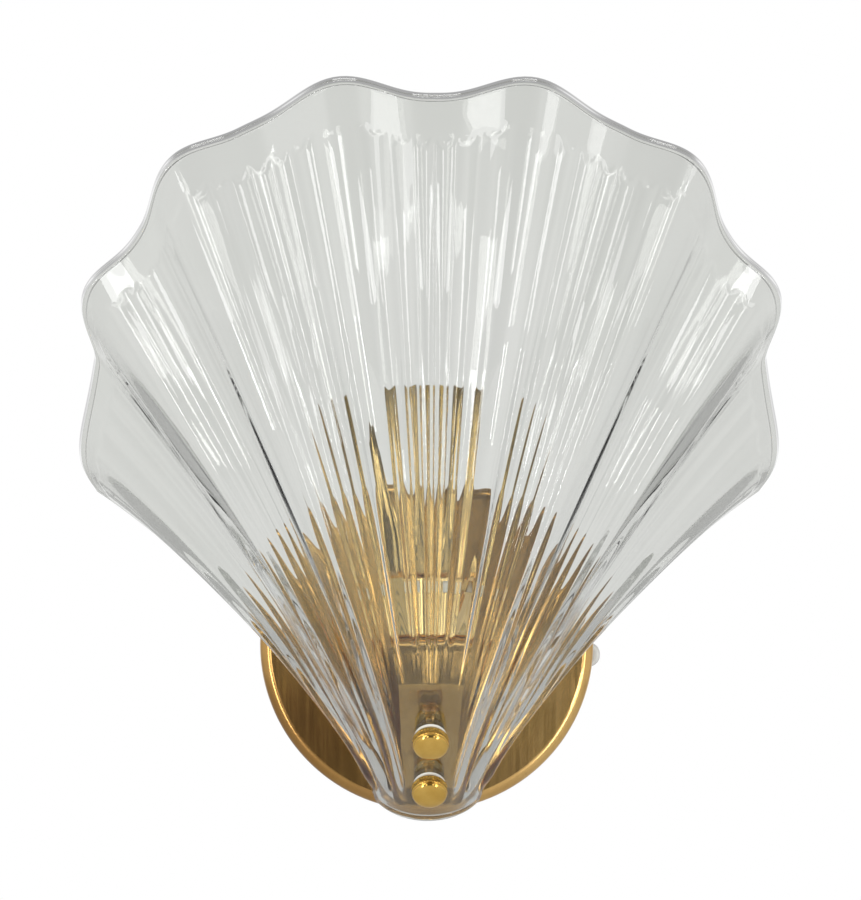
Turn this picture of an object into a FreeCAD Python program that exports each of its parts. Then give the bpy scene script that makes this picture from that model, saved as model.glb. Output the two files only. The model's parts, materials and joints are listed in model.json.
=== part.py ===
import FreeCAD, Part
import math
import os

# Shell wall sconce: a ribbed clear-glass scallop shell, clamped by two knurled knobs to a brass arm
# on a round wall plate, with a small screw-base lampholder and a brass reflector behind the glass.
# Millimetres. The wall is the plane y = 0, the room is at -y, +z is up and the origin is the
# centre of the wall plate's back face. The model is symmetric about x = 0 apart from its wiring.

V = FreeCAD.Vector

# ---- wall plate ----------------------------------------------------------------------------------
PLATE_R = 60.0
PLATE_DEPTH = 14.0
PLATE_SHEET = 1.0
PLATE_SHOULDER_R = 4.0
PLATE_RIM_FLANGE = 2.6        # width of the turned-in edge that meets the wall

# ---- glass shell: neck, rim and flutes -----------------------------------------------------------
GLASS_THICKNESS = 4.5
NECK_R = 21.5                 # outer radius of the trough at the neck's lower end
NECK_HALF_ANGLE = 60.0
NECK_TILT = 38.0              # lean of the neck's axis from the vertical, into the room
NECK_FLARE = 14.0             # further lean of every ray where it leaves the neck
NECK_FRONT_Y = -27.0
NECK_BOTTOM_Z = -62.0
FAN_Z = -53.7                 # height of the point from which the fan of rays is measured
VALLEY_ANGLE = (0.0, 15.8, 26.9, 36.8, 47.0)       # rays between two flutes, seen from the front
VALLEY_REACH = (240.0, 238.0, 219.9, 192.4, 159.7)  # their rim distance from the fan point
FLUTE_REACH = (6.9, 4.8, 7.3, 2.0)   # how far each flute's lobe passes the rim between valleys
FLUTE_RISE = (8.0, 6.5, 6.5, 4.5)    # how far each flute bulges outward at the rim
FLUTE_LEAN = (0.88, 0.94, 1.38, 1.93)  # above 1 the crown leans toward the side of the shell
FLUTE_SOFTNESS = (3.2, 2.2, 1.6, 1.15)  # above 1 the valleys are rounded
FLUTES_PER_SIDE = 4
RIM_FRONT_Y = -118.0
RIM_SIDE_Y = -36.4
RIM_WRAP = 70.0               # angle over which the rim curves back toward the wall
RIM_LEAN = 0.06               # forward slope of the rim's rays in the middle
RIM_LEAN_SIDE = -0.21         # what the outermost rays add to it
EDGE_TURN = 9.5               # how far the side edges turn outward from the fan at the rim
EDGE_POWER = 4                # how closely that turn keeps to the side edges
NECK_PULL = 0.28              # length of the rays' lower tangents, as a share of the ray
RIM_PULL = 0.42               # the same for the upper tangents
RIM_PULL_SIDE = -0.07         # what the outermost rays add to it
FLUTE_START = 0.06            # share of the ray where the flutes begin to rise
FLUTE_FULL = 0.85
RIBS_PER_FLUTE = 5
RIB_HEIGHT = 0.7
RIB_START = 0.24
RIB_FULL = 0.46
RIB_FADE = 0.80
RIB_END = 0.955               # the border beyond it is smooth
RAY_POINTS = 9
RIM_AIM = 0.97                # share of the ray from which the rounded rim takes its direction
NORMAL_STEP_U = 0.02
NORMAL_STEP_T = 0.01

# ---- brass arm -----------------------------------------------------------------------------------
ARM_SHEET = 2.0
ARM_WIDTH = 25.0
ARM_TIP_WIDTH = 17.0
ARM_WAIST_WIDTH = 21.0
ARM_TOP_Z = 5.0
ARM_FOOT_HEIGHT = 28.0
ARM_FRONT_Y = -60.5           # front face of the short upright part in front of the lampholder
ARM_BEND_R = 3.5
ARM_SLOPE = 38.0              # slope of the lower leg from the vertical, along the glass neck
ARM_TIP_MARGIN = 8.0          # brass beyond the lower stud

# ---- studs, knobs and washers --------------------------------------------------------------------
STUD_R = 2.0
STUD_PITCH = 23.2             # between the two studs, along the lower leg
STUD_LOWER_T = 0.10           # share of the middle ray where the lower stud leaves the glass
GLASS_HOLE_R = 2.7
PAD_THICKNESS = 3.2
PAD_R = 5.0
PAD_GAP = 0.8                 # the pad is flat and the glass behind it hollow
STUD_TAIL = 1.2
WASHER_R = 5.6
WASHER_THICKNESS = 1.0
WASHER_GAP = 0.3              # from the highest glass under the washer
STUD_CLEARANCE = 0.25
THREAD_CLEARANCE = 0.05
KNOB_R = 6.3
KNURL_DEPTH = 0.45
KNURL_RIDGES = 30
KNURL_LENGTH = 3.9
KNOB_FOOT_R = 5.3
KNOB_FOOT_LENGTH = 0.7
KNOB_FACE_R = 5.75
KNOB_FACE_EDGE = 0.7
KNOB_DOME = 1.5
KNOB_BORE_DEPTH = 5.2
THREAD_ENGAGED = 4.8
KNOB_WASHER_GAP = 0.05
KNURL_OVERLAP = 0.5           # how far the knurled band is sunk into the knob's body
STUD_CHAMFER = 0.4
SEAT_SEARCH = 40.0            # length of the line on which a stud's way out of the glass is looked for
STAND_SEARCH = 3.0            # more than the glass stands out under a washer

# ---- nuts and screws -----------------------------------------------------------------------------
M4_R = 2.0
M4_HOLE_R = 2.2
M4_NUT_ACROSS = 7.0
M4_NUT_HEIGHT = 3.0
M4_HEAD_R = 3.6
M4_HEAD_HEIGHT = 2.2
M3_R = 1.5
M3_HOLE_R = 1.7
M3_HEAD_R = 2.7
M3_HEAD_HEIGHT = 1.7
HEAD_CHAMFER = 0.6
DRIVE_SLOT_WIDTH = 0.9
DRIVE_SLOT_DEPTH = 0.9
ARM_SCREW_X = 7.5
ARM_SCREW_EDGE = 9.0          # from the upper edge of the arm's foot
ARM_SCREW_TAIL = 1.0

# ---- wall strap ----------------------------------------------------------------------------------
STRAP_SHEET = 1.5
STRAP_WIDTH = 14.0
STRAP_END_GAP = 1.4           # from the ears to the plate's turned-in edge
STRAP_EAR = 9.0
STRAP_SLOT_R = 2.3
STRAP_SLOT_LENGTH = 14.0
STRAP_SLOT_SPACING = 60.0
RIM_SCREW_Y = -6.0
RIM_SCREW_TAIL = 1.5

# ---- reflector -----------------------------------------------------------------------------------
REFLECTOR_SHEET = 0.8
REFLECTOR_WIDTH = 30.0
REFLECTOR_TOP_Z = 93.0
REFLECTOR_BOTTOM_Z = 8.0
REFLECTOR_CORNER_R = 3.0

# ---- lampholder ----------------------------------------------------------------------------------
LAMP_Y = -40.0
CUP_R = 14.3
CUP_WALL = 0.8
CUP_HEIGHT = 14.7
CUP_EDGE_R = 1.5
COLLAR_R = 14.9
COLLAR_WALL = 1.2
COLLAR_HEIGHT = 6.0
COLLAR_SLOTS = 8
COLLAR_SLOT_WIDTH = 5.0
COLLAR_SLOT_HEIGHT = 4.0
COLLAR_TOP_BAND = 1.0
INSERT_CLEARANCE = 0.1
INSERT_TOP_RECESS = 0.8
INSERT_CHAMFER = 0.8
SOCKET_R = 7.1                # small screw-base lamp, 14 mm
SOCKET_SHELL = 0.3
SOCKET_DEPTH = 13.0
CONTACT_WIDTH = 4.0
CONTACT_SHEET = 0.5
CONTACT_ROOT_Y = 4.5          # from the socket's axis, as are the bend and the tip
CONTACT_RISE = 1.5
CONTACT_BEND_Y = 0.9
CONTACT_TIP_Y = 2.7
NIPPLE_R = 5.0
NIPPLE_BORE_R = 3.5
NIPPLE_BELOW = 6.0
NIPPLE_HOLE_R = 5.1
NIPPLE_NUT_ACROSS = 14.0
NIPPLE_NUT_HEIGHT = 3.0
NIPPLE_RING_R = 8.0
NIPPLE_RING_HEIGHT = 2.5

# ---- wiring --------------------------------------------------------------------------------------
LEAD_R = 1.0
LEAD_X = 1.5
LIVE_Z = -14.5
NEUTRAL_Z = -9.5
LEAD_DEPTH_Y = -8.0
GROMMET_Z = -12.0
GROMMET_R = 7.0
GROMMET_BORE_R = 5.4
GROMMET_LIP = 1.2
GROMMET_LIP_R = 8.2
BLOCK_X = (-36.0, -16.0)
BLOCK_Z = (-20.0, -4.0)
BLOCK_DEPTH = 9.0
BLOCK_WAYS = 3
BLOCK_GROOVE_DEPTH = 2.0
BLOCK_GROOVE_WIDTH = 1.2
BLOCK_SCREW_R = 1.6
BLOCK_SCREW_HEIGHT = 0.8
EARTH_X = -26.0
EARTH_Z = 14.0
EARTH_LUG_R = 4.0
EARTH_LUG_SHEET = 0.8
EARTH_LEAD_Y = -9.0
CRIMP_WALL = 0.6
CRIMP_LENGTH = 5.5
CRIMP_LAP = 0.5               # how far the crimp reaches up past the lug's bent end
SUPPLY_R = 1.3
SUPPLY_ROUTE = (
    V(-26.0, -8.0, -20.0),
    V(-26.0, -8.0, -36.0),
    V(-2.0, -7.0, -38.0),
    V(28.0, -6.0, -30.0),
    V(46.0, -5.0, -7.2),
    V(61.4, -5.0, -7.2),
    V(61.4, -5.0, -1.1),
    V(44.0, -5.0, -1.1),
    V(26.0, -5.0, 4.0),
    V(22.0, 0.0, 4.0),
)
NOTCH_Z = (-9.6, 1.3)
NOTCH_DEPTH = 7.4

X_AXIS = V(1, 0, 0)
Y_AXIS = V(0, 1, 0)
Z_AXIS = V(0, 0, 1)
OVERSHOOT = 1.0               # how far a cutting tool passes the face that it starts from


# ---- small helpers -------------------------------------------------------------------------------
def cylinder(radius, start, axis, length):
    return Part.makeCylinder(radius, length, start, axis)


def tube(outer, inner, start, axis, length):
    return cylinder(outer, start, axis, length).cut(cylinder(inner, start, axis, length))


def box(low, high):
    return Part.makeBox(high.x - low.x, high.y - low.y, high.z - low.z, low)


def hex_nut(across, bore, start, axis, height):
    corner_r = across / 2 / math.cos(math.radians(30))
    side = axis.cross(X_AXIS)
    if side.Length < 0.5:
        side = axis.cross(Z_AXIS)
    side.normalize()
    other = axis.cross(side)
    corners = []
    for k in range(7):
        turn = math.radians(60 * k)
        corners.append(start + side * (corner_r * math.cos(turn)) + other * (corner_r * math.sin(turn)))
    prism = Part.Face(Part.makePolygon(corners)).extrude(axis * height)
    return prism.cut(cylinder(bore, start - axis * OVERSHOOT, axis, height + 2 * OVERSHOOT))


def headed_screw(shank_r, head_r, head_height, seat, axis, length):
    """A round-head screw: the axis points from the seat into the work, the head is on the other side."""
    shank = cylinder(shank_r, seat, axis, length)
    head = cylinder(head_r, seat - axis * head_height, axis, head_height)
    head = head.makeChamfer(HEAD_CHAMFER, [rim_edge(head, seat - axis * head_height)])
    side = axis.cross(Z_AXIS)
    if side.Length < 0.5:
        side = axis.cross(X_AXIS)
    side.normalize()
    other = axis.cross(side)
    corner = seat - axis * (head_height + OVERSHOOT) - side * (2 * head_r) - other * (DRIVE_SLOT_WIDTH / 2)
    outline = [corner, corner + side * 4 * head_r]
    outline += [outline[1] + other * DRIVE_SLOT_WIDTH, corner + other * DRIVE_SLOT_WIDTH, corner]
    slot = Part.Face(Part.makePolygon(outline)).extrude(axis * (OVERSHOOT + DRIVE_SLOT_DEPTH))
    return shank.fuse(head.cut(slot)).removeSplitter()


def rim_edge(solid, centre):
    """The circular edge of a cylinder that lies round the given centre."""
    for edge in solid.Edges:
        if hasattr(edge.Curve, "Radius") and (edge.Curve.Center - centre).Length < 1e-6:
            return edge
    raise ValueError("no such edge")


def rounded_path(points, bend_r=None):
    """A wire of straight runs joined by tangent arcs: each as large as its runs allow, or bend_r."""
    edges = []
    start = points[0]
    for k in range(1, len(points) - 1):
        back = points[k - 1] - points[k]
        ahead = points[k + 1] - points[k]
        run = min(back.Length, ahead.Length)
        back.normalize()
        ahead.normalize()
        turn = math.pi - back.getAngle(ahead)
        radius = 0.45 * run / math.tan(turn / 2) if bend_r is None else bend_r
        trim = radius * math.tan(turn / 2)
        middle = back + ahead
        middle.normalize()
        arc_in = points[k] + back * trim
        arc_out = points[k] + ahead * trim
        arc_top = points[k] + middle * (radius / math.cos(turn / 2) - radius)
        edges.append(Part.makeLine(start, arc_in))
        edges.append(Part.Arc(arc_in, arc_top, arc_out).toShape())
        start = arc_out
    edges.append(Part.makeLine(start, points[-1]))
    return Part.Wire(edges)


def routed_tube(points, radius):
    path = rounded_path(points)
    section = Part.Wire(Part.makeCircle(radius, points[0], points[1] - points[0]))
    solid = path.makePipeShell([section], True, False)
    expected = math.pi * radius ** 2 * path.Length
    if abs(solid.Volume - expected) > 0.01 * expected:
        raise ValueError("a lead's volume is not its section times its length")
    return solid


def bent_sheet(profile, sheet, bend_r, width):
    """Sheet metal bent along a centre line of (y, z) points, symmetric about x = 0."""
    path = rounded_path([V(0, y, z) for y, z in profile], bend_r)
    face = path.makeOffset2D(sheet / 2, 0, False, True)
    other = path.makeOffset2D(-sheet / 2, 0, False, True)
    first, last = ends_of(face)
    other_first, other_last = ends_of(other)
    if (first - other_first).Length > (first - other_last).Length:
        other_first, other_last = other_last, other_first
    closing = [Part.makeLine(first, other_first), Part.makeLine(last, other_last)]
    outline = Part.Wire(Part.__sortEdges__(face.Edges + other.Edges + closing))
    solid = Part.Face(outline).extrude(X_AXIS * width)
    solid.translate(X_AXIS * (-width / 2))
    return solid


def ends_of(wire):
    ordered = Part.__sortEdges__(wire.Edges)
    path = Part.Wire(ordered)
    return path.OrderedVertexes[0].Point, path.OrderedVertexes[-1].Point


# ---- the shell's surface: rays from the neck to the rim ------------------------------------------
def smooth_between(values, fraction, first_slope):
    """A smooth curve through evenly spaced values; fraction runs from 0 at the first to 1 at the last."""
    last = len(values) - 1
    k = min(int(fraction * last), last - 1)
    w = fraction * last - k

    def slope(i):
        if i == 0:
            return first_slope
        if i == last:
            return values[last] - values[last - 1]
        return (values[i + 1] - values[i - 1]) / 2

    return (
        (1 + 2 * w) * (1 - w) ** 2 * values[k]
        + w * (1 - w) ** 2 * slope(k)
        + w * w * (3 - 2 * w) * values[k + 1]
        + w * w * (w - 1) * slope(k + 1)
    )


def eased(value, low, high):
    share = min(max((value - low) / (high - low), 0.0), 1.0)
    return share * share * (3 - 2 * share)


def flute_at(u):
    """Which flute the ray u is in, and how near its crown it is, from 0 in a valley to 1."""
    place = abs(u) * FLUTES_PER_SIDE
    k = min(int(place), FLUTES_PER_SIDE - 1)
    w = min(place - k, 1.0)
    crown = max(math.sin(math.pi * w ** FLUTE_LEAN[k]), 0.0)
    return k, crown ** FLUTE_SOFTNESS[k]


def ray_controls(u):
    """The four control points of the ray u, which runs from -1 at one side edge to 1 at the other."""
    side = abs(u)
    tilt = math.radians(NECK_TILT)
    axis = V(0, -math.sin(tilt), math.cos(tilt))
    outward = V(0, -math.cos(tilt), -math.sin(tilt))
    turn = math.radians(NECK_HALF_ANGLE) * side
    radial = V(math.sin(turn), 0, 0) + outward * math.cos(turn)
    neck_centre = V(0, NECK_FRONT_Y, NECK_BOTTOM_Z) - outward * NECK_R
    start = neck_centre + radial * NECK_R
    flare = math.radians(NECK_FLARE)
    start_way = axis * math.cos(flare) + radial * math.sin(flare)

    k, crown = flute_at(u)
    fan = math.radians(smooth_between(VALLEY_ANGLE, side, VALLEY_ANGLE[1]))
    reach = smooth_between(VALLEY_REACH, side, 0.0) + FLUTE_REACH[k] * crown
    wrap = math.radians(RIM_WRAP)
    rim_y = RIM_FRONT_Y + (RIM_SIDE_Y - RIM_FRONT_Y) * (1 - math.cos(wrap * side)) / (1 - math.cos(wrap))
    end = V(reach * math.sin(fan), rim_y, FAN_Z + reach * math.cos(fan))
    end_fan = fan + math.radians(EDGE_TURN) * side ** EDGE_POWER
    end_way = V(math.sin(end_fan), -RIM_LEAN - RIM_LEAN_SIDE * side, math.cos(end_fan))
    end_way.normalize()

    length = (end - start).Length
    low = start + start_way * (NECK_PULL * length)
    high = end - end_way * ((RIM_PULL + RIM_PULL_SIDE * side) * length)
    controls = [start, low, high, end]
    if u < 0:
        controls = [V(-p.x, p.y, p.z) for p in controls]
    return controls


def base_point(u, t):
    start, low, high, end = ray_controls(u)
    s = 1 - t
    return start * s ** 3 + low * (3 * s * s * t) + high * (3 * s * t * t) + end * t ** 3


def outward_at(u, t):
    across = base_point(min(u + NORMAL_STEP_U, 1.0), t) - base_point(max(u - NORMAL_STEP_U, -1.0), t)
    along = base_point(u, min(t + NORMAL_STEP_T, 1.0)) - base_point(u, max(t - NORMAL_STEP_T, 0.0))
    normal = across.cross(along)
    normal.normalize()
    return normal


def shell_point(u, t, depth, rib):
    """A point of the glass: depth is measured inward from the outer surface, rib is 0 or 1."""
    k, crown = flute_at(u)
    rise = FLUTE_RISE[k] * crown * eased(t, FLUTE_START, FLUTE_FULL)
    fine = rib * RIB_HEIGHT * eased(t, RIB_START, RIB_FULL) * (1 - eased(t, RIB_FADE, RIB_END))
    return base_point(u, t) + outward_at(u, t) * (rise + fine - depth)


def ray_edge(u, depth, rib):
    curve = Part.BSplineCurve()
    curve.interpolate([shell_point(u, k / (RAY_POINTS - 1), depth, rib) for k in range(RAY_POINTS)])
    return curve


def rim_arc(u):
    """The rounded rim at the ray u, from the outer surface to the inner one."""
    outer = shell_point(u, 1.0, 0.0, 0)
    inner = shell_point(u, 1.0, GLASS_THICKNESS, 0)
    below = shell_point(u, RIM_AIM, GLASS_THICKNESS / 2, 0)
    middle = (outer + inner) * 0.5
    way = middle - below
    way.normalize()
    return Part.Arc(outer, middle + way * (GLASS_THICKNESS / 2), inner).toShape()


def glass_blank():
    strips = 2 * FLUTES_PER_SIDE * RIBS_PER_FLUTE * 2
    fractions = [-1 + 2 * k / strips for k in range(strips + 1)]
    outer = [ray_edge(u, 0.0, k % 2).toShape() for k, u in enumerate(fractions)]
    inner = [ray_edge(u, GLASS_THICKNESS, 0).toShape() for u in fractions]
    rim = [rim_arc(u) for u in fractions]
    faces = []
    for k in range(strips):
        faces.append(Part.makeRuledSurface(outer[k], outer[k + 1]))
        faces.append(Part.makeRuledSurface(inner[k], inner[k + 1]))
        faces.append(Part.makeRuledSurface(rim[k], rim[k + 1]))
        around = (outer[k], outer[k + 1], inner[k + 1], inner[k])
        neck = [edge.valueAt(edge.FirstParameter) for edge in around]
        faces.append(Part.makeRuledSurface(Part.makeLine(neck[0], neck[1]), Part.makeLine(neck[3], neck[2])))
    for k in (0, strips):
        faces.append(Part.makeRuledSurface(outer[k], inner[k]))
        chord = Part.makeLine(rim[k].Vertexes[0].Point, rim[k].Vertexes[-1].Point)
        faces.append(Part.Face(Part.Wire([rim[k], chord])))
    shell = Part.makeShell(faces)
    shell.sewShape()
    solid = Part.makeSolid(shell)
    if solid.Volume < 0:
        solid.reverse()
    return solid


# ---- the two clamp axes --------------------------------------------------------------------------
def leg_way():
    slope = math.radians(ARM_SLOPE)
    return V(0, -math.sin(slope), math.cos(slope))


def clamp_way():
    """Out of the neck, along the studs: forward and down."""
    slope = math.radians(ARM_SLOPE)
    return V(0, -math.cos(slope), -math.sin(slope))


def lower_seat():
    return shell_point(0.0, STUD_LOWER_T, 0.0, 0)


def leg_front_at(along):
    """A point on the lower leg's front face, at a distance along it from the lower stud."""
    depth = GLASS_THICKNESS + PAD_GAP + PAD_THICKNESS
    return lower_seat() - clamp_way() * depth + leg_way() * along


def stud_seats(blank):
    """Where each stud's axis meets the glass's outer face, and how far the face stands out past
    that point under the washer."""
    middle_ray = ray_edge(0.0, 0.0, 0).toShape()
    way = clamp_way()
    seats = {}
    for name, along in (("lower", 0.0), ("upper", STUD_PITCH)):
        foot = leg_front_at(along)
        line = Part.makeLine(foot, foot + way * SEAT_SEARCH)
        seat = line.distToShape(middle_ray)[1][0][0]
        probe = cylinder(WASHER_R, seat + way * STAND_SEARCH, way, WASHER_THICKNESS)
        seats[name] = (seat, STAND_SEARCH - probe.distToShape(blank)[0])
    return seats


def arm_screw_z():
    return ARM_TOP_Z + ARM_FOOT_HEIGHT - ARM_SCREW_EDGE


# ---- parts ---------------------------------------------------------------------------------------
def glass_shell(blank, seats):
    reach = 2 * GLASS_THICKNESS
    solid = blank
    for seat, stand in seats.values():
        start = seat - clamp_way() * reach
        solid = solid.cut(cylinder(GLASS_HOLE_R, start, clamp_way(), 2 * reach))
    return solid


def wall_plate():
    front = -PLATE_DEPTH
    shoulder = PLATE_SHOULDER_R
    diagonal = math.sin(math.radians(45))
    outer_mid = V(PLATE_R - shoulder + shoulder * diagonal, front + shoulder - shoulder * diagonal, 0)
    inner_r = shoulder - PLATE_SHEET
    inner_mid = V(PLATE_R - shoulder + inner_r * diagonal, front + shoulder - inner_r * diagonal, 0)
    inside = PLATE_R - PLATE_SHEET
    flange = PLATE_R - PLATE_RIM_FLANGE
    edges = [
        Part.makeLine(V(0, front, 0), V(PLATE_R - shoulder, front, 0)),
        Part.Arc(V(PLATE_R - shoulder, front, 0), outer_mid, V(PLATE_R, front + shoulder, 0)).toShape(),
        Part.makeLine(V(PLATE_R, front + shoulder, 0), V(PLATE_R, 0, 0)),
        Part.makeLine(V(PLATE_R, 0, 0), V(flange, 0, 0)),
        Part.makeLine(V(flange, 0, 0), V(flange, -PLATE_SHEET, 0)),
        Part.makeLine(V(flange, -PLATE_SHEET, 0), V(inside, -PLATE_SHEET, 0)),
        Part.makeLine(V(inside, -PLATE_SHEET, 0), V(inside, front + shoulder, 0)),
        Part.Arc(
            V(inside, front + shoulder, 0), inner_mid, V(PLATE_R - shoulder, front + PLATE_SHEET, 0)
        ).toShape(),
        Part.makeLine(V(PLATE_R - shoulder, front + PLATE_SHEET, 0), V(0, front + PLATE_SHEET, 0)),
        Part.makeLine(V(0, front + PLATE_SHEET, 0), V(0, front, 0)),
    ]
    solid = Part.Face(Part.Wire(edges)).revolve(V(0, 0, 0), Y_AXIS, 360)
    through = PLATE_SHEET + 2 * OVERSHOOT
    for x in (-ARM_SCREW_X, ARM_SCREW_X):
        solid = solid.cut(cylinder(M4_HOLE_R, V(x, front - OVERSHOOT, arm_screw_z()), Y_AXIS, through))
    solid = solid.cut(cylinder(GROMMET_R, V(0, front - OVERSHOOT, GROMMET_Z), Y_AXIS, through))
    for way in (1, -1):
        start = V(0, RIM_SCREW_Y, way * (PLATE_R - 2 * PLATE_SHEET))
        solid = solid.cut(cylinder(M3_HOLE_R, start, Z_AXIS * way, 4 * PLATE_SHEET))
    notch_low = V(flange - OVERSHOOT, -NOTCH_DEPTH, NOTCH_Z[0])
    return solid.cut(box(notch_low, V(PLATE_R + OVERSHOOT, OVERSHOOT, NOTCH_Z[1])))


def strap_half_length():
    return PLATE_R - PLATE_RIM_FLANGE - STRAP_END_GAP


def wall_strap():
    outer = strap_half_length()
    profile = [
        (-STRAP_EAR, -outer + STRAP_SHEET / 2),
        (-STRAP_SHEET / 2, -outer + STRAP_SHEET / 2),
        (-STRAP_SHEET / 2, outer - STRAP_SHEET / 2),
        (-STRAP_EAR, outer - STRAP_SHEET / 2),
    ]
    solid = bent_sheet(profile, STRAP_SHEET, STRAP_SHEET, STRAP_WIDTH)
    half_straight = STRAP_SLOT_LENGTH / 2 - STRAP_SLOT_R
    for middle in (-STRAP_SLOT_SPACING / 2, STRAP_SLOT_SPACING / 2):
        low = V(-STRAP_SLOT_R, -2 * STRAP_SHEET, middle - half_straight)
        high = V(STRAP_SLOT_R, STRAP_SHEET, middle + half_straight)
        slot = box(low, high)
        for end in (-half_straight, half_straight):
            slot = slot.fuse(cylinder(STRAP_SLOT_R, V(0, low.y, middle + end), Y_AXIS, high.y - low.y))
        solid = solid.cut(slot)
    for way in (1, -1):
        start = V(0, RIM_SCREW_Y, way * (outer - 2 * STRAP_SHEET))
        solid = solid.cut(cylinder(M3_R + THREAD_CLEARANCE, start, Z_AXIS * way, 4 * STRAP_SHEET))
    return solid


def rim_screws():
    length = PLATE_R - strap_half_length() + STRAP_SHEET + RIM_SCREW_TAIL
    screws = []
    for way in (1, -1):
        seat = V(0, RIM_SCREW_Y, way * PLATE_R)
        screws.append(headed_screw(M3_R, M3_HEAD_R, M3_HEAD_HEIGHT, seat, Z_AXIS * -way, length))
    return Part.makeCompound(screws)


def arm_profile():
    """The arm's centre line: foot on the wall plate, shelf, short upright, lower leg."""
    half = ARM_SHEET / 2
    foot_y = -PLATE_DEPTH - half
    shelf_z = ARM_TOP_Z - half
    upright_y = ARM_FRONT_Y + half
    leg_middle = leg_front_at(0.0) - clamp_way() * half
    way = leg_way()
    knee = leg_middle + way * ((upright_y - leg_middle.y) / way.y)
    tip = leg_middle - way * ARM_TIP_MARGIN
    return [
        (foot_y, ARM_TOP_Z + ARM_FOOT_HEIGHT),
        (foot_y, shelf_z),
        (upright_y, shelf_z),
        (upright_y, knee.z),
        (tip.y, tip.z),
    ]


def arm_taper():
    """What is kept of the arm, seen from the front: full width above, narrower down the neck."""
    profile = arm_profile()
    knee_z = profile[3][1]
    tip_z = profile[4][1] - ARM_SHEET
    top_z = profile[0][1] + OVERSHOOT
    outline = [
        (ARM_WIDTH / 2, top_z),
        (ARM_WIDTH / 2, ARM_TOP_Z - ARM_BEND_R),
        (ARM_WAIST_WIDTH / 2, knee_z),
        (ARM_TIP_WIDTH / 2, tip_z),
    ]
    corners = [V(x, 0, z) for x, z in outline]
    corners += [V(-x, 0, z) for x, z in reversed(outline)]
    corners.append(corners[0])
    return Part.Face(Part.makePolygon(corners)).extrude(V(0, ARM_FRONT_Y - OVERSHOOT, 0))


def bracket_arm(seats):
    solid = bent_sheet(arm_profile(), ARM_SHEET, ARM_BEND_R, ARM_WIDTH).common(arm_taper())
    for x in (-ARM_SCREW_X, ARM_SCREW_X):
        start = V(x, -PLATE_DEPTH - ARM_SHEET - OVERSHOOT, arm_screw_z())
        solid = solid.cut(cylinder(M4_HOLE_R, start, Y_AXIS, ARM_SHEET + 2 * OVERSHOOT))
    start = V(0, LAMP_Y, ARM_TOP_Z - ARM_SHEET - OVERSHOOT)
    solid = solid.cut(cylinder(NIPPLE_HOLE_R, start, Z_AXIS, ARM_SHEET + 2 * OVERSHOOT))
    for seat, stand in seats.values():
        way, leg_front = clamp_stack(seat)
        start = seat + way * (leg_front - ARM_SHEET - OVERSHOOT)
        solid = solid.cut(cylinder(STUD_R + THREAD_CLEARANCE, start, way, ARM_SHEET + 2 * OVERSHOOT))
    return solid


def arm_screws():
    screws = []
    seat_y = -PLATE_DEPTH - ARM_SHEET - REFLECTOR_SHEET
    length = REFLECTOR_SHEET + ARM_SHEET + PLATE_SHEET + M4_NUT_HEIGHT + ARM_SCREW_TAIL
    for x in (-ARM_SCREW_X, ARM_SCREW_X):
        seat = V(x, seat_y, arm_screw_z())
        screws.append(headed_screw(M4_R, M4_HEAD_R, M4_HEAD_HEIGHT, seat, Y_AXIS, length))
    return Part.makeCompound(screws)


def arm_nuts():
    nuts = []
    for x in (-ARM_SCREW_X, ARM_SCREW_X):
        start = V(x, -PLATE_DEPTH + PLATE_SHEET, arm_screw_z())
        nuts.append(hex_nut(M4_NUT_ACROSS, M4_R + THREAD_CLEARANCE, start, Y_AXIS, M4_NUT_HEIGHT))
    return Part.makeCompound(nuts)


def reflector_plate():
    back_y = -PLATE_DEPTH - ARM_SHEET
    half = REFLECTOR_WIDTH / 2
    low = V(-half, back_y - REFLECTOR_SHEET, REFLECTOR_BOTTOM_Z)
    solid = box(low, V(half, back_y, REFLECTOR_TOP_Z))
    corners = [e for e in solid.Edges if abs(e.Vertexes[0].X - e.Vertexes[1].X) < 1e-6]
    corners = [e for e in corners if abs(e.Vertexes[0].Z - e.Vertexes[1].Z) < 1e-6]
    solid = solid.makeFillet(REFLECTOR_CORNER_R, corners)
    for x in (-ARM_SCREW_X, ARM_SCREW_X):
        start = V(x, low.y - OVERSHOOT, arm_screw_z())
        solid = solid.cut(cylinder(M4_HOLE_R, start, Y_AXIS, REFLECTOR_SHEET + 2 * OVERSHOOT))
    return solid


def clamp_stack(seat):
    """Distances along the clamp axis from the outer glass face, and the axis itself."""
    way = clamp_way()
    leg_front = (leg_front_at(0.0) - seat).dot(way)
    return way, leg_front


def knob_base(stand):
    """Distance of the knob's foot from the seat, on top of the washer."""
    return stand + WASHER_GAP + WASHER_THICKNESS + KNOB_WASHER_GAP


def stud(seat, stand):
    way, leg_front = clamp_stack(seat)
    low = leg_front - ARM_SHEET - M4_NUT_HEIGHT - STUD_TAIL
    high = knob_base(stand) + THREAD_ENGAGED
    solid = cylinder(STUD_R, seat + way * low, way, high - low)
    ends = [rim_edge(solid, seat + way * low), rim_edge(solid, seat + way * high)]
    return solid.makeChamfer(STUD_CHAMFER, ends)


def rear_pad(seat):
    way, leg_front = clamp_stack(seat)
    front = -GLASS_THICKNESS - PAD_GAP
    start = seat + way * leg_front
    return tube(PAD_R, STUD_R + STUD_CLEARANCE, start, way, front - leg_front)


def front_washer(seat, stand):
    way = clamp_way()
    start = seat + way * (stand + WASHER_GAP)
    return tube(WASHER_R, STUD_R + STUD_CLEARANCE, start, way, WASHER_THICKNESS)


def stud_nut(seat):
    way, leg_front = clamp_stack(seat)
    start = seat + way * (leg_front - ARM_SHEET - M4_NUT_HEIGHT)
    return hex_nut(M4_NUT_ACROSS, STUD_R + THREAD_CLEARANCE, start, way, M4_NUT_HEIGHT)


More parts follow.
